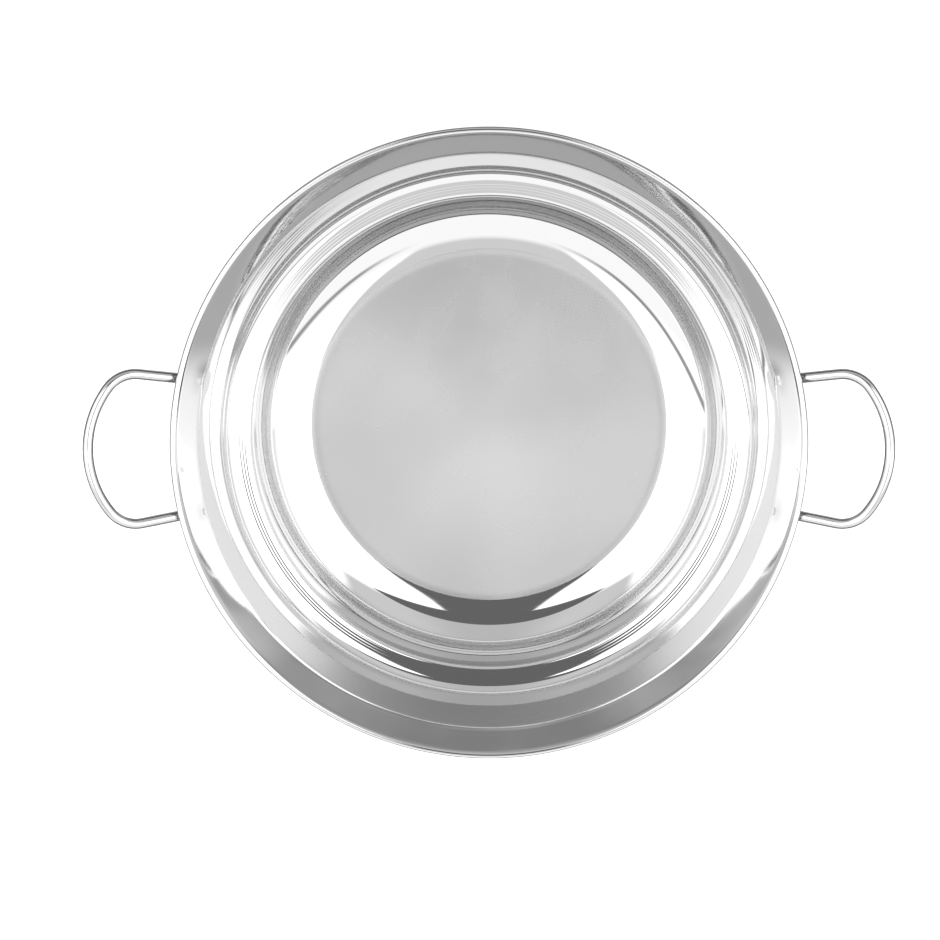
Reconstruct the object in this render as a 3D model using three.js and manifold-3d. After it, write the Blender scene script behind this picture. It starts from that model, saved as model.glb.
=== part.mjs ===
// Open soup kettle: a drawn stainless bowl with a stepped, flared wall and a rolled rim,
// a bonded heat-spreading base, and a fixed wire loop handle on each side.
//
// Millimetres, +Z up. The origin is the centre of the underside, and the handles lie on
// the X axis. The bowl and the base are turned about Z.

import * as THREE from "three";
import { mergeVertices } from "three/addons/utils/BufferGeometryUtils.js";
import Module from "manifold-3d";

// ---- driving dimensions ----

const RIM_RADIUS = 180;
const RIM_HEIGHT = 105;
const SHEET = 0.8;
const JOINT_GAP = 0.3;

const CAP_SHEET = 0.5;
const CAP_RADIUS = 107;
const CAP_EDGE_ROUND = 2;
const CORE_THICKNESS = 3.1;

const CURL_RADIUS = 1.8;
const CURL_END_ANGLE = THREE.MathUtils.degToRad(-145);

const FLOOR_TOP = CAP_SHEET + JOINT_GAP + CORE_THICKNESS + JOINT_GAP + SHEET;

// Corners of the bowl's inner face, from the floor out to the flare, each with the
// radius that rounds it.
const FLOOR_CORNER = { radius: 119, height: FLOOR_TOP, round: 44, steps: 7 };
const WALL_FOOT = { radius: 133.3, height: FLOOR_TOP + 12, round: 8, steps: 4 };
const SHOULDER = { radius: 140.6, height: RIM_HEIGHT - 57.8, round: 3, steps: 4 };
const LEDGE_CORNER = { radius: 154.9, height: RIM_HEIGHT - 55.8, round: 10, steps: 5 };
const STEP_LINE = { radius: 165.2, height: RIM_HEIGHT - 14.6, round: 2, steps: 1 };

const WIRE_RADIUS = 3;
const HANDLE_TILT = THREE.MathUtils.degToRad(20);
const HANDLE_ROOT = { radius: 166.5, height: RIM_HEIGHT - 14.5 };
const LEG_HALF_SPACING = 38;
const LEG_SPLAY = THREE.MathUtils.degToRad(8);
const LEG_LENGTH = 32.4;
const BEND_RADIUS = 19;
const GRIP_RADIUS = 58;
const LEG_INSET = 6;

const WELD_REACH = 7.6;
const WELD_HALF_WIDTH = 5.2;
const WELD_HEIGHT = 4.2;
const WELD_SLOPE = THREE.MathUtils.degToRad(59);

const TURNS = 64;
const CURL_STEPS = 9;
const HOLLOW_STEPS = 6;
const EDGE_STEPS = 2;
const HANDLE_STEPS = 46;
const WIRE_SIDES = 12;
const BEAD_SIDES = 16;

const wasm = await Module();
wasm.setup();

// ---- materials ----

const polishedSteel = { color: 0xd9dadb, roughness: 0.1, metalness: 1 };
const brushedSteel = { color: 0xc4c5c6, roughness: 0.4, metalness: 0.9 };
const aluminium = { color: 0xb9bbbd, roughness: 0.35, metalness: 0.9 };
const weldMetal = { color: 0xa6a39d, roughness: 0.4, metalness: 0.9 };

// ---- geometry helpers ----

// A point of a turned outline: x is the distance from the axis, y is the height.
function at(radius, height) {
  return new THREE.Vector2(radius, height);
}

// Turns an outline about Z. The outline runs anticlockwise with x right and y up.
function turned(outline) {
  const geometry = new THREE.LatheGeometry(outline, TURNS);
  geometry.rotateX(Math.PI / 2);
  return geometry;
}

// Points of an arc about a centre, its two ends included.
function arc(centre, radius, startAngle, endAngle, steps) {
  const points = [];
  for (let i = 0; i <= steps; i++) {
    const angle = THREE.MathUtils.lerp(startAngle, endAngle, i / steps);
    points.push(at(centre.x + radius * Math.cos(angle), centre.y + radius * Math.sin(angle)));
  }
  return points;
}

// The direction to the right of a direction of travel.
function rightOf(direction) {
  return at(direction.y, -direction.x);
}

// Follows straight stretches between corners and rounds each inner corner. Every point
// of the result carries the direction that leads out to the right of the line.
function roundedLine(corners) {
  const headings = [];
  for (let i = 0; i + 1 < corners.length; i++) {
    headings.push(corners[i + 1].point.clone().sub(corners[i].point).normalize());
  }
  const line = [{ point: corners[0].point, out: rightOf(headings[0]) }];
  for (let i = 1; i + 1 < corners.length; i++) {
    const { point, round, steps } = corners[i];
    const arriving = headings[i - 1];
    const turn = Math.atan2(arriving.cross(headings[i]), arriving.dot(headings[i]));
    const side = Math.sign(turn);
    const tangentLength = round * Math.tan(Math.abs(turn) / 2);
    const start = point.clone().addScaledVector(arriving, -tangentLength);
    const centre = start.addScaledVector(rightOf(arriving), -side * round);
    for (let step = 0; step <= steps; step++) {
      const out = rightOf(arriving).rotateAround(at(0, 0), (turn * step) / steps);
      line.push({ point: centre.clone().addScaledVector(out, side * round), out });
    }
  }
  line.push({ point: corners.at(-1).point, out: rightOf(headings.at(-1)) });
  return line;
}

// The same line moved out to its right.
function movedOut(line, distance) {
  return line.map(({ point, out }) => point.clone().addScaledVector(out, distance));
}

function toSolid(geometry) {
  const bare = geometry.clone();
  bare.deleteAttribute("normal");
  bare.deleteAttribute("uv");
  const merged = mergeVertices(bare, 1e-4);
  const index = merged.index.array;
  const triangles = [];
  for (let i = 0; i < index.length; i += 3) {
    const [a, b, c] = index.slice(i, i + 3);
    if (a !== b && b !== c && c !== a) {
      triangles.push(a, b, c);
    }
  }
  const mesh = new wasm.Mesh({
    numProp: 3,
    vertProperties: new Float32Array(merged.attributes.position.array),
    triVerts: new Uint32Array(triangles),
  });
  return new wasm.Manifold(mesh);
}

function toGeometry(solid) {
  const mesh = solid.getMesh();
  const geometry = new THREE.BufferGeometry();
  geometry.setAttribute("position", new THREE.BufferAttribute(mesh.vertProperties, 3));
  geometry.setIndex(new THREE.BufferAttribute(mesh.triVerts, 1));
  geometry.computeVertexNormals();
  return geometry;
}

function named(name, geometry, look) {
  const mesh = new THREE.Mesh(geometry, new THREE.MeshStandardMaterial(look));
  mesh.name = name;
  return mesh;
}

// ---- bowl ----

const curlCentre = at(RIM_RADIUS - CURL_RADIUS, RIM_HEIGHT - CURL_RADIUS);

// The flare leaves the step line and runs tangent onto the top of the rim's curl.
function flareAngle() {
  const toCurl = curlCentre.clone().sub(at(STEP_LINE.radius, STEP_LINE.height));
  return toCurl.angle() + Math.asin(CURL_RADIUS / toCurl.length());
}

// The bowl's inner face, from the axis to where the curl begins.
function innerFace() {
  const leftOfFlare = flareAngle() + Math.PI / 2;
  const flareEnd = curlCentre
    .clone()
    .add(at(CURL_RADIUS * Math.cos(leftOfFlare), CURL_RADIUS * Math.sin(leftOfFlare)));
  const corners = [{ point: at(0, FLOOR_TOP) }];
  for (const corner of [FLOOR_CORNER, WALL_FOOT, SHOULDER, LEDGE_CORNER, STEP_LINE]) {
    corners.push({ ...corner, point: at(corner.radius, corner.height) });
  }
  corners.push({ point: flareEnd });
  return roundedLine(corners);
}

// The sheet runs up the inner face and over the curl, and stops short of the flare's
// underside so that the hollow in the curl stays open.
function bowlShell() {
  const face = innerFace();
  const curlStart = flareAngle() + Math.PI / 2;
  const curlOutside = arc(curlCentre, CURL_RADIUS, curlStart, CURL_END_ANGLE, CURL_STEPS);
  const hollow = arc(curlCentre, CURL_RADIUS - SHEET, CURL_END_ANGLE, curlStart, HOLLOW_STEPS);
  const outline = [
    ...movedOut(face, 0).slice(0, -1),
    ...curlOutside,
    ...hollow,
    ...movedOut(face, SHEET).slice(0, -1).reverse(),
  ];
  return turned(outline.reverse());
}

// Everything that the bowl's outer face encloses, and the joint gap outside it: what
// is welded onto the wall is cut back by this.
function bowlPlug() {
  const face = movedOut(innerFace(), SHEET + JOINT_GAP);
  const lid = at(0, face.at(-1).y);
  return toSolid(turned([...face, lid]));
}

// ---- base ----

// A thin cup turned up round the core, with a rounded lower edge.
function baseCap() {
  const edge = at(CAP_RADIUS - CAP_EDGE_ROUND, CAP_EDGE_ROUND);
  const lip = CAP_SHEET + JOINT_GAP + CORE_THICKNESS;
  const insideRound = CAP_EDGE_ROUND - CAP_SHEET;
  return turned([
    at(0, 0),
    ...arc(edge, CAP_EDGE_ROUND, -Math.PI / 2, 0, EDGE_STEPS),
    at(CAP_RADIUS, lip),
    at(CAP_RADIUS - CAP_SHEET, lip),
    ...arc(edge, insideRound, 0, -Math.PI / 2, EDGE_STEPS),
    at(0, CAP_SHEET),
  ]);
}

// A plain disc whose lower edge follows the cap's inside round.
function coreDisc() {
  const bottom = CAP_SHEET + JOINT_GAP;
  const edgeRound = CAP_EDGE_ROUND - CAP_SHEET - JOINT_GAP;
  const edge = at(CAP_RADIUS - CAP_EDGE_ROUND, CAP_EDGE_ROUND);
  return turned([
    at(0, bottom),
    ...arc(edge, edgeRound, -Math.PI / 2, 0, EDGE_STEPS),
    at(edge.x + edgeRound, bottom + CORE_THICKNESS),
    at(0, bottom + CORE_THICKNESS),
  ]);
}

// ---- handles, drawn for the +X side ----

// The wire's centreline in the handle's own plane, from inside the wall at the front leg
// round the grip to the rear leg: x leads away from the wall, y along it.
function wireLine(inset) {
  const wall = at(0, LEG_HALF_SPACING);
  const heading = at(Math.cos(LEG_SPLAY), Math.sin(LEG_SPLAY));
  const inner = wall.clone().addScaledVector(heading, -inset);
  const bendStart = wall.clone().addScaledVector(heading, LEG_LENGTH);
  const bendCentre = bendStart.clone().addScaledVector(rightOf(heading), BEND_RADIUS);
  const reach = GRIP_RADIUS - BEND_RADIUS;
  const gripCentreX = bendCentre.x - Math.sqrt(reach * reach - bendCentre.y * bendCentre.y);
  const gripEnd = Math.atan2(bendCentre.y, bendCentre.x - gripCentreX);
  const bendSide = LEG_SPLAY + Math.PI / 2;

  const line = new THREE.Path();
  line.moveTo(inner.x, -inner.y);
  line.lineTo(bendStart.x, -bendStart.y);
  line.absarc(bendCentre.x, -bendCentre.y, BEND_RADIUS, -bendSide, -gripEnd, false);
  line.absarc(gripCentreX, 0, GRIP_RADIUS, -gripEnd, gripEnd, false);
  line.absarc(bendCentre.x, bendCentre.y, BEND_RADIUS, gripEnd, bendSide, false);
  line.lineTo(inner.x, inner.y);
  return line;
}

// The flat line as a curve in space, lying in the XY plane.
class FlatCurve extends THREE.Curve {
  constructor(line) {
    super();
    this.line = line;
  }

  getPoint(t) {
    const { x, y } = this.line.getPoint(t);
    return new THREE.Vector3(x, y, 0);
  }
}

// Tilts a shape from the handle's plane and carries it to the handle's root.
function placeOnWall(geometry) {
  geometry.rotateY(-HANDLE_TILT);
  geometry.translate(HANDLE_ROOT.radius, 0, HANDLE_ROOT.height);
  return geometry;
}

function wire(radius, inset) {
  const section = new THREE.Shape();
  section.absarc(0, 0, radius, 0, 2 * Math.PI, false);
  const geometry = new THREE.ExtrudeGeometry(section, {
    extrudePath: new FlatCurve(wireLine(inset)),
    steps: HANDLE_STEPS,
    curveSegments: WIRE_SIDES / 2,
  });
  return placeOnWall(geometry);
}

function handle(plug) {
  return toGeometry(toSolid(wire(WIRE_RADIUS, LEG_INSET)).subtract(plug));
}

// The fillet round one wire end: an oval bead flat on the wall. Side is 1 for the leg
// towards +Y and -1 for the leg towards -Y.
function weld(side, plug, wireRoom) {
  const bead = new THREE.SphereGeometry(1, BEAD_SIDES, BEAD_SIDES / 2);
  bead.scale(WELD_REACH, WELD_HALF_WIDTH, WELD_HEIGHT);
  bead.rotateY(-WELD_SLOPE);
  bead.translate(HANDLE_ROOT.radius, side * LEG_HALF_SPACING, HANDLE_ROOT.height);
  return toGeometry(toSolid(bead).subtract(plug).subtract(wireRoom));
}

// ---- assembly ----

const kettle = new THREE.Group();
kettle.add(named("bowl_shell", bowlShell(), polishedSteel));
kettle.add(named("core_disc", coreDisc(), aluminium));
kettle.add(named("base_cap", baseCap(), brushedSteel));

const plug = bowlPlug();
const wireRoom = toSolid(wire(WIRE_RADIUS + JOINT_GAP, 2 * LEG_INSET));
const handleShape = handle(plug);
const weldTowardsMinusY = weld(-1, plug, wireRoom);
const weldTowardsPlusY = weld(1, plug, wireRoom);

// Each side is the +X handle and its two welds, turned about the axis. Front is -Y.
function addSide(side, turn, frontWeld, rearWeld) {
  const group = new THREE.Group();
  group.rotation.z = turn;
  group.add(named(`handle_${side}`, handleShape, polishedSteel));
  group.add(named(`weld_${side}_front`, frontWeld, weldMetal));
  group.add(named(`weld_${side}_rear`, rearWeld, weldMetal));
  kettle.add(group);
}

addSide("right", 0, weldTowardsMinusY, weldTowardsPlusY);
addSide("left", Math.PI, weldTowardsPlusY, weldTowardsMinusY);

export default kettle;
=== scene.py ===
"""Looks of the soup kettle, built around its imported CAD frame.

Every length is in metres, in the CAD frame: +Z up, origin at the centre of the underside, handles on
the X axis. The bowl, handles, welds and base are rebuilt here as fine meshes in the places that the
CAD gives them, with procedural materials.
"""

import math

import bmesh
import bpy
from mathutils import Matrix, Vector, noise


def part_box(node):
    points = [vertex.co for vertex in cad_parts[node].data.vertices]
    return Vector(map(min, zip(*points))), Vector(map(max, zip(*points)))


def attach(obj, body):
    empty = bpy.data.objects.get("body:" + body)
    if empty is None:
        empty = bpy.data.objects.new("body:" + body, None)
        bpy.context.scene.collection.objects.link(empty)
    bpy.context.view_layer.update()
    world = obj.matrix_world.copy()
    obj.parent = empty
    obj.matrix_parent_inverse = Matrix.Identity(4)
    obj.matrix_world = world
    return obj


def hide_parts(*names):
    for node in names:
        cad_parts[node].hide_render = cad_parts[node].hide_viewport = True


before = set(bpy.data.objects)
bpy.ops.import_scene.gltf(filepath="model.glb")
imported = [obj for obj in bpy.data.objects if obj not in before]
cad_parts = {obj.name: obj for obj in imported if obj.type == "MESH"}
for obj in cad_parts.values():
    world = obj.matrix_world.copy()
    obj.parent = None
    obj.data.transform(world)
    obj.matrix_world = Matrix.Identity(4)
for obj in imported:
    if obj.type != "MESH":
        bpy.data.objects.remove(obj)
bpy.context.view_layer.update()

MM = 0.001

# ---- dimensions, the same as the CAD's ----

shell_low, shell_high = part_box("bowl_shell")
_, cap_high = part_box("base_cap")
core_low, core_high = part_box("core_disc")

RIM_TOP = shell_high.z
RIM_RADIUS = shell_high.y
SHEET = 0.8 * MM
CURL_RADIUS = 1.8 * MM
CURL_END = math.radians(-145)
FLOOR_TOP = shell_low.z + SHEET

# Corners of the bowl's inner face: radius, height and the radius that rounds each.
FLOOR_CORNER = (119 * MM, FLOOR_TOP, 44 * MM)
WALL_FOOT = (133.3 * MM, FLOOR_TOP + 12 * MM, 8 * MM)
SHOULDER = (140.6 * MM, RIM_TOP - 57.8 * MM, 3 * MM)
LEDGE_CORNER = (154.9 * MM, RIM_TOP - 55.8 * MM, 10 * MM)
STEP_LINE = (165.2 * MM, RIM_TOP - 14.6 * MM, 2 * MM)
CORNERS = (FLOOR_CORNER, WALL_FOOT, SHOULDER, LEDGE_CORNER, STEP_LINE)
SATIN_RADIUS = 108.4 * MM

WIRE_RADIUS = 2.95 * MM
WIRE_INSET = 6 * MM
HANDLE_TILT = math.radians(20)
HANDLE_ROOT = Vector((166.5 * MM, 0, RIM_TOP - 14.5 * MM))
LEG_HALF_SPACING = 38 * MM
LEG_SPLAY = math.radians(8)
LEG_LENGTH = 32.4 * MM
BEND_RADIUS = 19 * MM
GRIP_RADIUS = 58 * MM

CAP_SHEET = 0.5 * MM
CAP_EDGE_ROUND = 2 * MM
CORE_EDGE_ROUND = 1.2 * MM
CORE_TOP_ROUND = 0.3 * MM

# ---- fineness of the meshes ----

BOWL_TURNS = 288
CAP_TURNS = 256
CORE_TURNS = 192
WELD_TURNS = 96
WIRE_SIDES = 32
ARC_STEP = 1.0 * MM
FLOOR_STEP = 6 * MM
WALL_STEP = 2.5 * MM
LEDGE_STEP = 0.36 * MM
WIRE_STEP = 0.9 * MM
BASE_STEP = 10 * MM
ON_AXIS = 1e-7

# ---- small departures of a real pot from its true shape ----

# Long and short waves of the drawn sheet: length and height.
LONG_WAVE = (55 * MM, 0.06 * MM)
SHORT_WAVE = (22 * MM, 0.022 * MM)
SHORT_WAVE_SHIFT = Vector((7, 3, 1))

# Rings that the tool leaves on the ledge: where they are, their pitch and their height.
RINGS_FROM, RINGS_TO = 141.4 * MM, 149.5 * MM
RING_PITCH = 1.55 * MM
RING_HEIGHT = 0.02 * MM

# The dimple that each weld's heat draws into the wall, which shows less on the outside.
PULL_SPREAD = 4.2 * MM
PULL_DEPTH = 0.24 * MM
PULL_OUTSIDE = 0.3

# Bead of weld: how far it climbs the wire and spreads on the wall, and how much each wanders.
BEAD_CLIMB = (5.2 * MM, 0.9 * MM)
BEAD_SPREAD = (5.0 * MM, 0.7 * MM)
BEAD_STEPS = 12
BEAD_STRETCH = 1.25
BEAD_SINK = 0.3 * MM
BEAD_RIPPLE = 0.07 * MM
BEAD_LUMP = 0.16 * MM


# ---- turned outlines ----

def right_of(direction):
    return Vector((direction.y, -direction.x))


def turned_by(direction, angle):
    c, s = math.cos(angle), math.sin(angle)
    return Vector((c * direction.x - s * direction.y, s * direction.x + c * direction.y))


def spaced(start, end, step):
    """Points from start to end, end left out, about one step apart."""
    count = max(1, round((end - start).length / step))
    return [start.lerp(end, i / count) for i in range(count)]


def arc(centre, radius, start, end, count):
    angles = [start + (end - start) * i / count for i in range(count + 1)]
    return [centre + radius * Vector((math.cos(a), math.sin(a))) for a in angles]


def flare_heading(curl_centre, step_point):
    """The angle at which the flare leaves the step line to run tangent onto the curl."""
    to_curl = curl_centre - step_point
    return math.atan2(to_curl.y, to_curl.x) + math.asin(CURL_RADIUS / to_curl.length)


CURL_CENTRE = Vector((RIM_RADIUS - CURL_RADIUS, RIM_TOP - CURL_RADIUS))
FLARE = flare_heading(CURL_CENTRE, Vector(STEP_LINE[:2]))


def ring_step(length):
    """Spacing of the rings on a straight stretch: wide on the long floor, fine on the short ledge."""
    if length > 80 * MM:
        return FLOOR_STEP
    return LEDGE_STEP if length < 12 * MM else WALL_STEP


def inner_face():
    """Points of the bowl's inner face from the axis to the curl, each with the direction that leads
    through the sheet to its outer face."""
    corners = [(Vector(c[:2]), c[2]) for c in CORNERS]
    flare_end = CURL_CENTRE + CURL_RADIUS * Vector((-math.sin(FLARE), math.cos(FLARE)))
    points = [Vector((0, FLOOR_TOP))] + [c[0] for c in corners] + [flare_end]
    headings = [(b - a).normalized() for a, b in zip(points, points[1:])]
    line = []
    start = points[0]
    for (corner, radius), arriving, leaving in zip(corners, headings, headings[1:]):
        turn = math.atan2(arriving.x * leaving.y - arriving.y * leaving.x, arriving.dot(leaving))
        side = math.copysign(1, turn)
        tangent = radius * math.tan(abs(turn) / 2)
        arc_start = corner - tangent * arriving
        step = ring_step((arc_start - start).length)
        line += [(p, right_of(arriving)) for p in spaced(start, arc_start, step)]
        centre = arc_start - side * radius * right_of(arriving)
        count = max(4, round(radius * abs(turn) / ARC_STEP))
        for i in range(count):
            out = turned_by(right_of(arriving), turn * i / count)
            line.append((centre + side * radius * out, out))
        start = corner + tangent * leaving
    line += [(p, right_of(headings[-1])) for p in spaced(start, flare_end, WALL_STEP)]
    line.append((flare_end, right_of(headings[-1])))
    return line


def smooth_piece(name, verts, faces):
    """A closed mesh with smooth shading, its faces turned outward."""
    mesh = bpy.data.meshes.new(name)
    mesh.from_pydata(verts, [], faces)
    mesh.validate()
    skin = bmesh.new()
    skin.from_mesh(mesh)
    bmesh.ops.recalc_face_normals(skin, faces=skin.faces)
    skin.to_mesh(mesh)
    skin.free()
    mesh.shade_smooth()
    piece = bpy.data.objects.new(name, mesh)
    bpy.context.scene.collection.objects.link(piece)
    return piece


def lathe(name, outline, turns, shaped=None):
    """A smooth closed mesh: the outline of (radius, height) turned about Z. The outline starts and
    ends on the axis. shaped gives a vertex's radius and height from its angle and outline index."""
    verts, faces, rings = [], [], []
    for k, p in enumerate(outline):
        if p.x < ON_AXIS:
            rings.append([len(verts)])
            verts.append((0, 0, p.y))
            continue
        rings.append(list(range(len(verts), len(verts) + turns)))
        for t in range(turns):
            angle = 2 * math.pi * t / turns
            radius, height = p.x, p.y
            if shaped:
                radius, height = shaped(angle, k)
            verts.append((radius * math.cos(angle), radius * math.sin(angle), height))
    for lower, upper in zip(rings, rings[1:]):
        for t in range(turns):
            following = (t + 1) % turns
            if len(lower) == 1:
                faces.append((lower[0], upper[following], upper[t]))
            elif len(upper) == 1:
                faces.append((lower[t], lower[following], upper[0]))
            else:
                faces.append((lower[t], lower[following], upper[following], upper[t]))
    return smooth_piece(name, verts, faces)


# ---- bowl ----

def held(value):
    """Keeps a value between 0 and 1."""
    return min(1, max(0, value))


def wall_waves(angle, radius, height):
    """How far a real drawn and polished sheet strays from its true shape, through the sheet."""
    spot = Vector((math.cos(angle) * radius, math.sin(angle) * radius, height))
    long = noise.noise(spot / LONG_WAVE[0])
    short = noise.noise(spot / SHORT_WAVE[0] + SHORT_WAVE_SHIFT)
    return LONG_WAVE[1] * long + SHORT_WAVE[1] * short


def ledge_rings(radius):
    """Fine rings that the tool's edge leaves on the ledge, fading out over its last millimetres."""
    fade = held((radius - RINGS_FROM) / MM) * held((RINGS_TO - radius) / MM)
    return RING_HEIGHT * fade * math.sin(2 * math.pi * radius / RING_PITCH)


def weld_angles():
    """The angles about the axis at which the four wire ends meet the wall."""
    half = math.asin(LEG_HALF_SPACING / HANDLE_ROOT.x)
    return [half, math.pi - half, math.pi + half, -half % (2 * math.pi)]


def weld_pull(angle, radius, height):
    """The shallow dimple that each weld's heat draws into the wall."""
    total = 0
    for weld_angle in weld_angles():
        around = ((angle - weld_angle + math.pi) % (2 * math.pi) - math.pi) * radius
        up = height - HANDLE_ROOT.z
        total += math.exp(-(around**2 + up**2) / (2 * PULL_SPREAD**2))
    return PULL_DEPTH * total


def sheet_shift(angle, radius, height, inside):
    """How far one spot of the bowl's sheet is moved through the sheet. The rim and the axis stay."""
    rim_fade = held((RIM_TOP - 4 * MM - height) / (8 * MM))
    axis_fade = held(radius / (20 * MM))
    shift = wall_waves(angle, radius, height) * rim_fade * axis_fade
    shift += weld_pull(angle, radius, height) * (1 if inside else PULL_OUTSIDE) * rim_fade
    return shift + (ledge_rings(radius) if inside else 0)


def build_bowl():
    """One sheet: out along the outer face, round the curl and its hollow, and in along the inner."""
    face = inner_face()[:-1]
    inner = [(p, out, True) for p, out in face]
    outer = [(p + SHEET * out, out, False) for p, out in face]
    curl_start = FLARE + math.pi / 2
    outside = arc(CURL_CENTRE, CURL_RADIUS, curl_start, CURL_END, 40)
    hollow = arc(CURL_CENTRE, CURL_RADIUS - SHEET, CURL_END, curl_start, 28)
    curl = [(p, None, False) for p in outside + hollow]
    path = outer + curl[::-1] + inner[::-1]

    def shaped(angle, k):
        p, out, inside = path[k]
        if out is None:
            return p.x, p.y
        moved = p + out * sheet_shift(angle, p.x, p.y, inside)
        return moved.x, moved.y

    return lathe("bowl_sheet", [p for p, _, _ in path], BOWL_TURNS, shaped)


# ---- base ----

def build_cap():
    radius, lip = cap_high.y, cap_high.z
    edge = Vector((radius - CAP_EDGE_ROUND, CAP_EDGE_ROUND))
    lip_round = CAP_SHEET / 2
    outline = spaced(Vector((0, 0)), Vector((edge.x, 0)), 4 * MM)
    outline += arc(edge, CAP_EDGE_ROUND, -math.pi / 2, 0, 10)
    outline += arc(Vector((radius - lip_round, lip - lip_round)), lip_round, 0, math.pi, 8)
    outline += arc(edge, CAP_EDGE_ROUND - CAP_SHEET, 0, -math.pi / 2, 10)
    outline += spaced(Vector((edge.x, CAP_SHEET)), Vector((0, CAP_SHEET)), 8 * MM)[1:]
    outline.append(Vector((0, CAP_SHEET)))
    return lathe("base_cap_fine", outline, CAP_TURNS)


def build_core():
    edge = Vector((core_high.y - CORE_EDGE_ROUND, core_low.z + CORE_EDGE_ROUND))
    top = Vector((core_high.y - CORE_TOP_ROUND, core_high.z - CORE_TOP_ROUND))
    outline = spaced(Vector((0, core_low.z)), Vector((edge.x, core_low.z)), BASE_STEP)
    outline += arc(edge, CORE_EDGE_ROUND, -math.pi / 2, 0, 8)
    outline += arc(top, CORE_TOP_ROUND, 0, math.pi / 2, 4)
    outline += spaced(Vector((top.x, core_high.z)), Vector((0, core_high.z)), BASE_STEP)[1:]
    outline.append(Vector((0, core_high.z)))
    return lathe("core_disc_fine", outline, CORE_TURNS)


# ---- handles ----

OUTER_FACE = [p + SHEET * out for p, out in inner_face()]


def outer_radius(height):
    """Radius of the bowl's outer face at a height above its ledge."""
    for a, b in zip(OUTER_FACE, OUTER_FACE[1:]):
        if a.x > 0.9 * HANDLE_ROOT.x - SHEET and a.y <= height <= b.y:
            return a.x + (b.x - a.x) * (height - a.y) / (b.y - a.y)
    return OUTER_FACE[-1].x


def slid_to_wall(spot, heading):
    """Moves a spot along a heading until it is in the middle of the bowl's sheet."""
    near, far = 0, 4 * WIRE_INSET
    for _ in range(24):
        middle = (near + far) / 2
        probe = spot + middle * heading
        outside = math.hypot(probe.x, probe.y) > outer_radius(probe.z) - SHEET / 2
        near, far = (middle, far) if outside else (near, middle)
    return spot + near * heading


def wire_path():
    """Centreline points of the +X handle in its own plane, each with the running direction: out
    along one leg, round the bend, round the grip, and back the same way mirrored."""
    heading = LEG_SPLAY
    d = Vector((math.cos(heading), math.sin(heading)))
    wall = Vector((0, LEG_HALF_SPACING))
    bend_start = wall + LEG_LENGTH * d
    bend_centre = bend_start + BEND_RADIUS * right_of(d)
    reach = GRIP_RADIUS - BEND_RADIUS
    grip_x = bend_centre.x - math.sqrt(reach**2 - bend_centre.y**2)
    grip_end = math.atan2(bend_centre.y, bend_centre.x - grip_x)
    bend_side = heading + math.pi / 2
    half = [(p, d) for p in spaced(wall, bend_start, WIRE_STEP)]

    def sweep(centre, radius, a, b):
        count = max(2, round(radius * abs(b - a) / WIRE_STEP))
        for i in range(count):
            t = a + (b - a) * i / count
            out = Vector((math.cos(t), math.sin(t)))
            half.append((centre + radius * out, right_of(out)))

    sweep(bend_centre, BEND_RADIUS, bend_side, grip_end)
    sweep(Vector((grip_x, 0)), GRIP_RADIUS, grip_end, 0)
    tip = (Vector((grip_x + GRIP_RADIUS, 0)), Vector((0, -1)))
    mirrored = [(Vector((p.x, -p.y)), Vector((-d.x, d.y))) for p, d in half]
    return half + [tip] + mirrored[::-1]


def handle_place(side):
    """Carries the handle's plane onto the wall: side is 1 for +X and -1 for -X."""
    turn = Matrix.Rotation(0 if side > 0 else math.pi, 4, "Z")
    return turn @ Matrix.Translation(HANDLE_ROOT) @ Matrix.Rotation(-HANDLE_TILT, 4, "Y")


def lifted(flat):
    return Vector((flat.x, flat.y, 0))


def tube_faces(rings, sides):
    """Faces between rings of vertices that follow one another, each with the same sides."""
    faces = []
    for i in range(rings - 1):
        here, there = i * sides, (i + 1) * sides
        for k in range(sides):
            n = (k + 1) % sides
            faces.append((here + k, there + k, there + n, here + n))
    return faces


def build_handle(name, side):
    """The bent wire, whose end rings are slid along it until they are in the bowl's sheet."""
    place = handle_place(side)
    path = wire_path()

    def ring(p, d):
        across = Vector((-d.y, d.x, 0))
        for k in range(WIRE_SIDES):
            a = 2 * math.pi * k / WIRE_SIDES
            round_about = math.cos(a) * across + math.sin(a) * Vector((0, 0, 1))
            yield place @ (lifted(p) + WIRE_RADIUS * round_about)

    first, first_way = path[0]
    last, last_way = path[-1]
    inward = (place.to_3x3() @ lifted(first_way)) * -1
    onward = place.to_3x3() @ lifted(last_way)
    verts = [slid_to_wall(v, inward) for v in ring(first, first_way)]
    for p, d in path:
        verts += ring(p, d)
    verts += [slid_to_wall(v, onward) for v in ring(last, last_way)]
    faces = tube_faces(len(path) + 2, WIRE_SIDES)
    faces.append(tuple(range(WIRE_SIDES)))
    faces.append(tuple(reversed(range(len(verts) - WIRE_SIDES, len(verts)))))
    return smooth_piece(name, verts, faces)


# ---- welds ----

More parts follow.
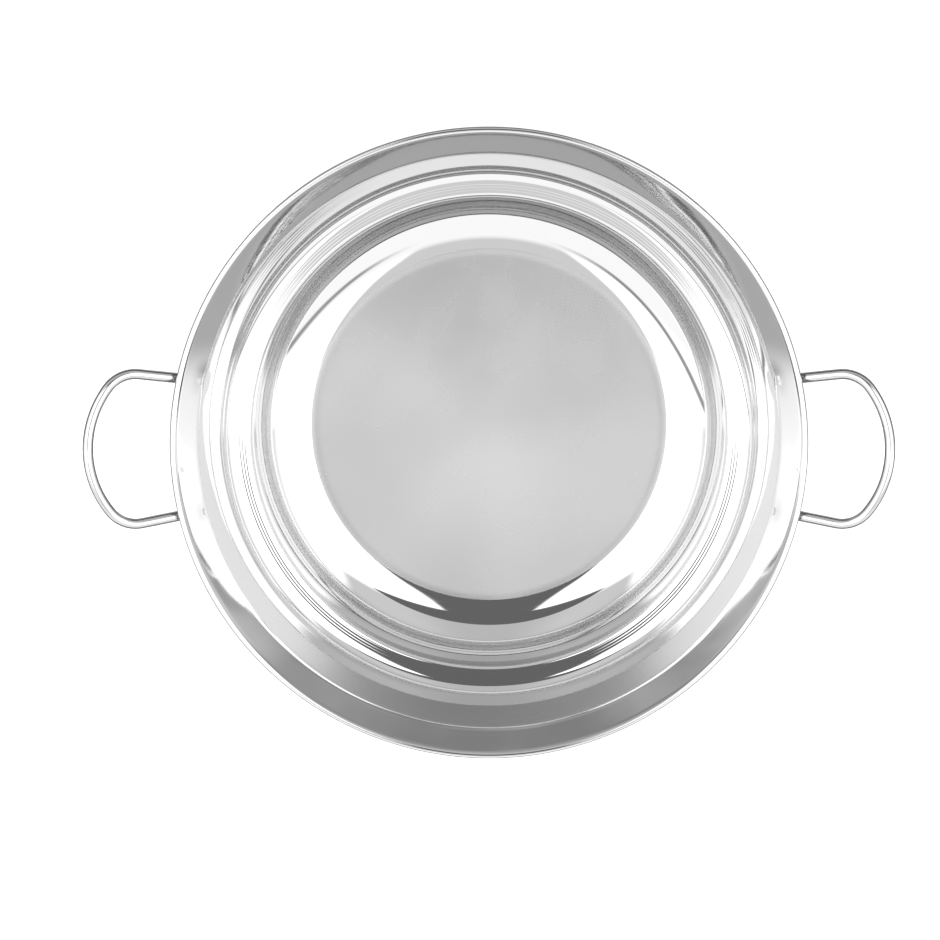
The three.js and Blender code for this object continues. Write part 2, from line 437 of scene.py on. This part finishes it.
def build_weld(name, side, leg):
    """A rippled bead of weld round one wire end: it clings to the wire at its inner edge and
    spreads onto the bowl's wall. leg is 1 for the end towards +Y in the +X handle's own plane."""
    place = handle_place(side)
    turn = place.to_3x3()
    way = Vector((math.cos(LEG_SPLAY), leg * math.sin(LEG_SPLAY), 0))
    axis = turn @ way
    across, up = turn @ Vector((-way.y, way.x, 0)), turn @ Vector((0, 0, 1))
    toe = slid_to_wall(place @ Vector((0, leg * LEG_HALF_SPACING, 0)), axis * -1)
    toe_angle = math.atan2(toe.y, toe.x)
    seed = Vector((side * 3.1, leg * 5.7, 1.3))
    angles = [2 * math.pi * k / WELD_TURNS for k in range(WELD_TURNS)]

    def on_wall(a, reach, sink):
        z = toe.z + BEAD_STRETCH * reach * math.sin(a)
        radius = outer_radius(z) - sink
        angle = toe_angle + reach * math.cos(a) / radius
        return Vector((radius * math.cos(angle), radius * math.sin(angle), z))

    def on_wire(a, along, radius):
        return toe + along * axis + radius * (math.cos(a) * across + math.sin(a) * up)

    def on_bead(a, t):
        """A spot at angle a about the wire, from t = 0 on the wire to t = 1 on the wall."""
        about = Vector((math.cos(a), math.sin(a), 0))
        wander = 0.7 * noise.noise(about * 1.3 + seed) + 0.3 * noise.noise(about * 4 + seed)
        climb = BEAD_CLIMB[0] + BEAD_CLIMB[1] * wander
        spread = BEAD_SPREAD[0] + BEAD_SPREAD[1] * wander
        wire_spot = on_wire(a, climb * (1 - t) ** 1.7, WIRE_RADIUS * 0.99)
        spot = wire_spot.lerp(on_wall(a, spread, 0), t**1.6)
        belly = math.sin(math.pi * t)
        ripple = math.sin(26 * a + 5 * t + 2 * wander)
        lump = noise.noise(about * 6 + seed + Vector((0, 0, 3 * t)))
        outward = (spot - toe - climb * 0.3 * axis).normalized()
        return spot + (BEAD_RIPPLE * ripple + BEAD_LUMP * lump) * belly * outward

    rows = [[on_bead(a, i / BEAD_STEPS) for a in angles] for i in range(BEAD_STEPS + 1)]
    rows.append([on_wall(a, 4.8 * MM, BEAD_SINK) for a in angles])
    rows.append([on_wall(a, 1.6 * MM, BEAD_SINK) for a in angles])
    rows.append([on_wire(a, 4.0 * MM, 1.6 * MM) for a in angles])
    rows.append(rows[0])
    faces = [tuple(v % (WELD_TURNS * (len(rows) - 1)) for v in face)
             for face in tube_faces(len(rows), WELD_TURNS)]
    return smooth_piece(name, [v for row in rows[:-1] for v in row], faces)


# ---- node helpers ----

class Nodes:
    """Short spellings for building a node tree."""

    def __init__(self, tree):
        self.tree = tree
        tree.nodes.clear()

    def add(self, kind, **values):
        node = self.tree.nodes.new(kind)
        for key, value in values.items():
            setattr(node, key, value)
        return node

    def link(self, value, socket):
        if isinstance(value, bpy.types.NodeSocket):
            self.tree.links.new(value, socket)
        else:
            socket.default_value = value

    def math(self, operation, a, b=0.0):
        node = self.add("ShaderNodeMath", operation=operation)
        for value, socket in zip((a, b), node.inputs):
            self.link(value, socket)
        return node.outputs[0]

    def product(self, first, *others):
        for other in others:
            first = self.math("MULTIPLY", first, other)
        return first

    def flat_length(self, x, y):
        return self.math("SQRT", self.math("ADD", self.product(x, x), self.product(y, y)))

    def ramp(self, value, span, result, smooth=False):
        """Carries the span of a value over to the span of its result, held at both ends."""
        kind = "SMOOTHSTEP" if smooth else "LINEAR"
        node = self.add("ShaderNodeMapRange", interpolation_type=kind)
        for v, key in ((value, "Value"), (span[0], "From Min"), (span[1], "From Max"),
                       (result[0], "To Min"), (result[1], "To Max")):
            self.link(v, node.inputs[key])
        return node.outputs["Result"]

    def noise(self, vector, scale=1.0, detail=2.0, roughness=0.5):
        node = self.add("ShaderNodeTexNoise")
        self.link(vector, node.inputs["Vector"])
        node.inputs["Scale"].default_value = scale
        node.inputs["Detail"].default_value = detail
        node.inputs["Roughness"].default_value = roughness
        return node.outputs["Fac"]

    def mix(self, factor, pair):
        """A colour between the two of a pair."""
        node = self.add("ShaderNodeMix", data_type="RGBA")
        self.link(factor, node.inputs[0])
        self.link(pair[0], node.inputs[6])
        self.link(pair[1], node.inputs[7])
        return node.outputs[2]

    def combine(self, x, y, z):
        node = self.add("ShaderNodeCombineXYZ")
        for value, socket in zip((x, y, z), node.inputs):
            self.link(value, socket)
        return node.outputs[0]

    def separate(self, vector):
        node = self.add("ShaderNodeSeparateXYZ")
        self.link(vector, node.inputs[0])
        return node.outputs

    def spot(self):
        return self.add("ShaderNodeTexCoord").outputs["Object"]

    def turned_lines(self, spot, radius_scale, height_scale, angle_scale, detail, roughness):
        """Noise drawn out into fine lines round the axis, as turning and polishing leave them."""
        x, y, z = self.separate(spot)
        radius, angle = self.flat_length(x, y), self.math("ARCTAN2", y, x)
        stretched = self.combine(self.product(radius, radius_scale), self.product(z, height_scale),
                                 self.product(angle, angle_scale))
        return self.noise(stretched, 1.0, detail, roughness)


def material(name):
    made = bpy.data.materials.new(name)
    made.use_nodes = True
    nodes = Nodes(made.node_tree)
    shader = nodes.add("ShaderNodeBsdfPrincipled")
    output = nodes.add("ShaderNodeOutputMaterial")
    nodes.link(shader.outputs[0], output.inputs["Surface"])
    return made, nodes, shader


def metal(name):
    made, nodes, shader = material(name)
    shader.inputs["Metallic"].default_value = 1.0
    return made, nodes, shader


def bump(n, shader, height, distance, strength):
    node = n.add("ShaderNodeBump")
    node.inputs["Distance"].default_value = distance
    node.inputs["Strength"].default_value = strength
    n.link(height, node.inputs["Height"])
    n.link(node.outputs[0], shader.inputs["Normal"])


def grey(value, warmth=0.0):
    return (value * (1 + warmth), value, value * (1 - warmth), 1)


# ---- materials ----

POLISHED_ROUGHNESS = (0.02, 0.06)
POLISHED_GREYS = (grey(0.74), grey(0.78))
SATIN_ROUGHNESS = (0.25, 0.29)
SATIN_GREYS = (grey(0.45), grey(0.64))
SATIN_EDGE = 0.15 * MM
WIRE_ROUGHNESS = (0.07, 0.16)
WIRE_GREYS = (grey(0.60), grey(0.68))
BRUSHED_ROUGHNESS = (0.24, 0.42)
BRUSHED_GREYS = (grey(0.52), grey(0.62))
ALUMINIUM_ROUGHNESS = (0.3, 0.45)
ALUMINIUM_GREYS = (grey(0.6), grey(0.72))
WELD_ROUGHNESS = (0.22, 0.5)
WELD_GREYS = (grey(0.42, 0.06), grey(0.6, 0.02))


def satin_zone(n, spot):
    """1 on the flat floor inside, above the middle of the sheet, and the radius from the axis."""
    x, y, z = n.separate(spot)
    radius = n.flat_length(x, y)
    inside = n.math("GREATER_THAN", z, FLOOR_TOP - SHEET / 2)
    low = n.math("LESS_THAN", z, FLOOR_TOP + 4 * MM)
    edge = (SATIN_RADIUS - SATIN_EDGE, SATIN_RADIUS + SATIN_EDGE)
    return n.product(inside, n.ramp(radius, edge, (1.0, 0.0), smooth=True), low), radius


def bowl_steel():
    """Mirror polish with faint polishing lines, and a worn satin finish on the floor."""
    made, n, shader = metal("bowl_steel")
    spot = n.spot()
    satin, radius = satin_zone(n, spot)
    lines = n.turned_lines(spot, 900.0, 900.0, 2.5, detail=3.0, roughness=0.6)
    clouds = n.noise(spot, 18.0, 3.0, 0.55)
    grain = n.noise(spot, 1400.0, 2.0, 0.6)

    polished = n.math("SUBTRACT", 1.0, satin)
    satin_rough = n.product(satin, n.ramp(clouds, (0.3, 0.7), SATIN_ROUGHNESS))
    polished_rough = n.product(polished, n.ramp(lines, (0.3, 0.8), POLISHED_ROUGHNESS))
    n.link(n.math("ADD", satin_rough, polished_rough), shader.inputs["Roughness"])

    # The satin is brighter in soft patches and towards the middle.
    patches = n.ramp(n.noise(spot, 11.0, 1.0, 0.4), (0.25, 0.75), (0.35, 0.85), smooth=True)
    # Base colour made brighter towards the middle of the floor; the soft patches are the satin's own
    # uneven tone.
    middle = n.ramp(radius, (0.0, SATIN_RADIUS), (0.42, 0.0), smooth=True)
    patches_and_brighter_middle = n.math("ADD", n.product(patches, 0.6), middle)
    looks = (n.mix(clouds, POLISHED_GREYS), n.mix(patches_and_brighter_middle, SATIN_GREYS))
    n.link(n.mix(satin, looks), shader.inputs["Base Color"])

    height = n.math("ADD", n.product(lines, 0.12), n.product(grain, satin, 0.1))
    bump(n, shader, height, distance=0.02 * MM, strength=0.25)
    return made


def wire_steel():
    made, n, shader = metal("wire_steel")
    spot = n.spot()
    scuffs = n.noise(spot, 160.0, 4.0, 0.6)
    n.link(n.ramp(scuffs, (0.3, 0.75), WIRE_ROUGHNESS), shader.inputs["Roughness"])
    n.link(n.mix(scuffs, WIRE_GREYS), shader.inputs["Base Color"])
    bump(n, shader, n.noise(spot, 900.0), distance=0.02 * MM, strength=0.3)
    return made


def brushed_steel():
    made, n, shader = metal("brushed_steel")
    rings = n.turned_lines(n.spot(), 1600.0, 900.0, 1.5, detail=3.0, roughness=0.65)
    n.link(n.ramp(rings, (0.25, 0.8), BRUSHED_ROUGHNESS), shader.inputs["Roughness"])
    n.link(n.mix(rings, BRUSHED_GREYS), shader.inputs["Base Color"])
    bump(n, shader, rings, distance=0.03 * MM, strength=0.5)
    return made


def core_aluminium():
    made, n, shader = metal("core_aluminium")
    rings = n.turned_lines(n.spot(), 500.0, 2500.0, 1.0, detail=2.0, roughness=0.5)
    n.link(n.ramp(rings, (0.3, 0.7), ALUMINIUM_ROUGHNESS), shader.inputs["Roughness"])
    n.link(n.mix(rings, ALUMINIUM_GREYS), shader.inputs["Base Color"])
    return made


def weld_steel():
    made, n, shader = metal("weld_steel")
    patches = n.noise(n.spot(), 300.0, 4.0, 0.6)
    n.link(n.ramp(patches, (0.3, 0.7), WELD_ROUGHNESS), shader.inputs["Roughness"])
    n.link(n.mix(patches, WELD_GREYS), shader.inputs["Base Color"])
    bump(n, shader, patches, distance=0.1 * MM, strength=0.5)
    return made


# ---- studio ----

FLOOR_HALF = 4.0
SOFTBOX_SIZE = 3.2
SOFTBOX_HEIGHT = 2.6
SOFTBOX_WATTS = 60
CAMERA_DISTANCE = 1.170
CAMERA_LEAN = math.radians(8.4)
CAMERA_LENS = 79.6
CAMERA_SHIFT = (-0.0202, -0.0213)

# How bright each part of the studio is.
SIDE_LIGHT = 2.0
SOUTH_LIGHT = 1.25
SOUTH_STRIP = 0.8
WEST_EDGE = 0.22
EAST_EDGE = 0.25
ROOM = 0.76
ROOM_MIDDLE = 0.62
FLANKS = 0.6
STAND = 0.16
BELOW = 0.06
TABLE = 0.5

# The dark stand ends at this tilt, and the room begins.
STAND_TILT = 41.5


class Sky(Nodes):
    """The studio's light, laid panel over panel. A direction is told in degrees: tilt is its whole
    angle from the zenith, and east and north are the parts of that towards +X and +Y."""

    def __init__(self, tree):
        super().__init__(tree)
        x, y, z = self.separate(self.add("ShaderNodeTexCoord").outputs["Generated"])
        flat = self.math("MAXIMUM", self.flat_length(x, y), 1e-5)
        self.tilt = self.product(self.math("ARCTAN2", flat, z), 180 / math.pi)
        self.east = self.math("DIVIDE", self.product(self.tilt, x), flat)
        self.north = self.math("DIVIDE", self.product(self.tilt, y), flat)
        self.aside = self.math("ABSOLUTE", self.east)
        self.around = self.math("ARCTAN2", y, x)
        self.light = SIDE_LIGHT

    def under(self, value, edge, soft):
        """1 where the value is less than the edge, fading to 0 across it."""
        return self.ramp(self.math("SUBTRACT", value, edge), (-soft, soft), (1.0, 0.0), smooth=True)

    def over(self, value, edge, soft):
        """1 where the value is more than the edge, fading to 0 across it."""
        return self.ramp(self.math("SUBTRACT", value, edge), (-soft, soft), (0.0, 1.0), smooth=True)

    def band(self, slope, offset, half, soft):
        """1 near a line across the sky, which runs east with a slope, at an offset north."""
        line = self.math("ADD", self.product(self.east, slope), offset)
        away = self.math("ABSOLUTE", self.math("SUBTRACT", self.north, line))
        return self.under(away, half, soft)

    def panel(self, value, *masks):
        """Mixes one panel's brightness over what is there, by the product of its masks."""
        mask = self.product(*masks)
        kept = self.product(self.light, self.math("SUBTRACT", 1.0, mask))
        self.light = self.math("ADD", kept, self.product(mask, value))

    def light_south(self):
        """Pale to the south, with a greyer strip from the zenith down into it."""
        self.panel(SOUTH_LIGHT, self.under(self.north, edge=-31.0, soft=5.0))
        self.panel(SOUTH_STRIP, self.under(self.aside, edge=11.0, soft=1.5),
                   self.over(self.north, edge=-34.0, soft=4.0),
                   self.under(self.north, edge=-11.0, soft=2.0))

    def edge_sides(self):
        """Two thin grey edges where the side lights end."""
        self.panel(WEST_EDGE, self.band(slope=-0.36, offset=-43.0, half=2.3, soft=1.6),
                   self.under(self.east, edge=-16.0, soft=8.0),
                   self.over(self.east, edge=-76.0, soft=4.0), 0.9)
        self.panel(EAST_EDGE, self.band(slope=0.11, offset=-43.0, half=2.1, soft=1.5),
                   self.over(self.east, edge=20.0, soft=8.0), 0.85)

    def add_room(self):
        """A grey room to the north, behind the stand, and grey flanks low down on both sides."""
        half = self.ramp(self.north, (31.0, 70.0), (42.0, 62.0))
        room = self.product(self.over(self.tilt, edge=STAND_TILT, soft=1.0),
                            self.over(self.north, edge=31.0, soft=3.0),
                            self.under(self.aside, edge=half, soft=5.0))
        self.panel(ROOM, room)
        self.panel(ROOM_MIDDLE, room, self.under(self.aside, edge=15.0, soft=10.0),
                   self.under(self.tilt, edge=72.0, soft=8.0))
        self.panel(FLANKS, self.over(self.tilt, edge=66.0, soft=6.0),
                   self.over(self.north, edge=-12.0, soft=4.0), 0.7)

    def add_stand(self):
        """The dark stand: an upright from the zenith and a wide tapering bar across its top."""
        above = self.under(self.tilt, edge=STAND_TILT, soft=0.8)
        half = self.ramp(self.north, (0.0, 24.0), (6.5, 8.0), smooth=True)
        upright = self.product(self.under(self.aside, edge=half, soft=0.7),
                               self.over(self.north, edge=-8.0, soft=1.0), above)
        taper = self.product(self.math("SUBTRACT", self.aside, 9.0), 0.27)
        bar = self.product(self.over(self.north, edge=self.math("ADD", taper, 25.0), soft=0.8), above,
                           self.under(self.aside, edge=42.0, soft=1.0))
        self.panel(STAND, self.math("MAXIMUM", upright, bar))

    def add_horizon(self):
        """An uneven grey horizon to the north and south, dark below it, and further down a paler
        table that only the outside of the bowl shows."""
        streaks_at = self.combine(self.product(self.tilt, 0.22), self.product(self.around, 1.1), 0.0)
        streaks = self.noise(streaks_at, 1.0, 3.0, 0.6)
        uneven = self.ramp(streaks, (0.34, 0.66), (0.75, 1.3), smooth=True)
        to_north = self.ramp(self.aside, (62.0, 82.0), (0.36, 0.7), smooth=True)
        to_south = self.ramp(self.aside, (25.0, 50.0), (0.72, 1.15), smooth=True)
        north_part = self.product(self.over(self.north, edge=0.0, soft=12.0), to_north)
        south_part = self.product(self.under(self.north, edge=0.0, soft=12.0), to_south)
        horizon = self.math("ADD", north_part, south_part)
        self.panel(self.product(horizon, uneven), self.over(self.tilt, edge=80.0, soft=4.0))
        floor_edge = self.ramp(self.north, (-10.0, 10.0), (95.0, 90.0), smooth=True)
        self.panel(BELOW, self.over(self.tilt, edge=floor_edge, soft=4.0))
        self.panel(self.product(uneven, TABLE), self.over(self.tilt, edge=117.0, soft=12.0),
                   self.under(self.tilt, edge=150.0, soft=14.0))


def build_studio():
    """White side lights, a grey room and a dark stand overhead."""
    world = bpy.data.worlds.new("studio")
    bpy.context.scene.world = world
    world.use_nodes = True
    sky = Sky(world.node_tree)
    sky.light_south()
    sky.edge_sides()
    sky.add_room()
    sky.add_stand()
    sky.add_horizon()
    background = sky.add("ShaderNodeBackground")
    sky.link(sky.combine(sky.light, sky.light, sky.light), background.inputs["Color"])
    background.inputs["Strength"].default_value = 1.0
    output = sky.add("ShaderNodeOutputWorld")
    sky.link(background.outputs[0], output.inputs["Surface"])


def build_floor():
    """A plain pale floor. Polished metal does not mirror it, because the studio has its own below."""
    half = FLOOR_HALF
    corners = [(-half, -half, 0), (half, -half, 0), (half, half, 0), (-half, half, 0)]
    mesh = bpy.data.meshes.new("floor")
    mesh.from_pydata(corners, [], [(0, 1, 2, 3)])
    floor = bpy.data.objects.new("floor", mesh)
    bpy.context.scene.collection.objects.link(floor)
    made, _, shader = material("pale_floor")
    shader.inputs["Base Color"].default_value = grey(0.93)
    shader.inputs["Roughness"].default_value = 0.9
    shader.inputs["Specular IOR Level"].default_value = 0.1
    mesh.materials.append(made)
    floor.visible_glossy = False


def build_softbox():
    """A broad overhead light that keeps the floor evenly white. Polished metal does not mirror it."""
    lamp = bpy.data.lights.new("softbox", "AREA")
    lamp.shape = "DISK"
    lamp.size = SOFTBOX_SIZE
    lamp.energy = SOFTBOX_WATTS
    softbox = bpy.data.objects.new("softbox", lamp)
    softbox.location = (0, 0, SOFTBOX_HEIGHT)
    softbox.visible_glossy = False
    bpy.context.scene.collection.objects.link(softbox)


def build_camera():
    """Nearly straight above the rim's centre, leaning towards +Y."""
    distance, lean = CAMERA_DISTANCE, CAMERA_LEAN
    camera_data = bpy.data.cameras.new("camera")
    camera_data.lens = CAMERA_LENS
    camera_data.sensor_width = 36
    camera_data.shift_x, camera_data.shift_y = CAMERA_SHIFT
    camera_data.clip_start = 0.01
    camera = bpy.data.objects.new("camera", camera_data)
    camera.location = (0, distance * math.sin(lean), RIM_TOP + distance * math.cos(lean))
    camera.rotation_euler = (-lean, 0, 0)
    bpy.context.scene.collection.objects.link(camera)
    bpy.context.scene.camera = camera
    bpy.context.scene.view_settings.view_transform = "Standard"


# ---- assembly ----

def dress(piece, look, slot, *nodes):
    piece.data.materials.clear()
    piece.data.materials.append(look)
    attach(piece, "root")
    if nodes:
        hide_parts(*nodes)


build_camera()
build_studio()
build_floor()
build_softbox()

bowl_look = bowl_steel()
wire_look = wire_steel()
weld_look = weld_steel()
dress(build_bowl(), bowl_look, "polished_steel", "bowl_shell")
dress(build_cap(), brushed_steel(), "brushed_base", "base_cap")
dress(build_core(), core_aluminium(), "aluminium_core", "core_disc")
for side_name, side in (("left", -1), ("right", 1)):
    handle = build_handle(f"wire_{side_name}", side)
    dress(handle, wire_look, "polished_wire", f"handle_{side_name}")
for weld_name, side, leg in (("left_front", -1, 1), ("left_rear", -1, -1),
                             ("right_front", 1, -1), ("right_rear", 1, 1)):
    bead = build_weld(f"bead_{weld_name}", side, leg)
    dress(bead, weld_look, "weld_metal", f"weld_{weld_name}")

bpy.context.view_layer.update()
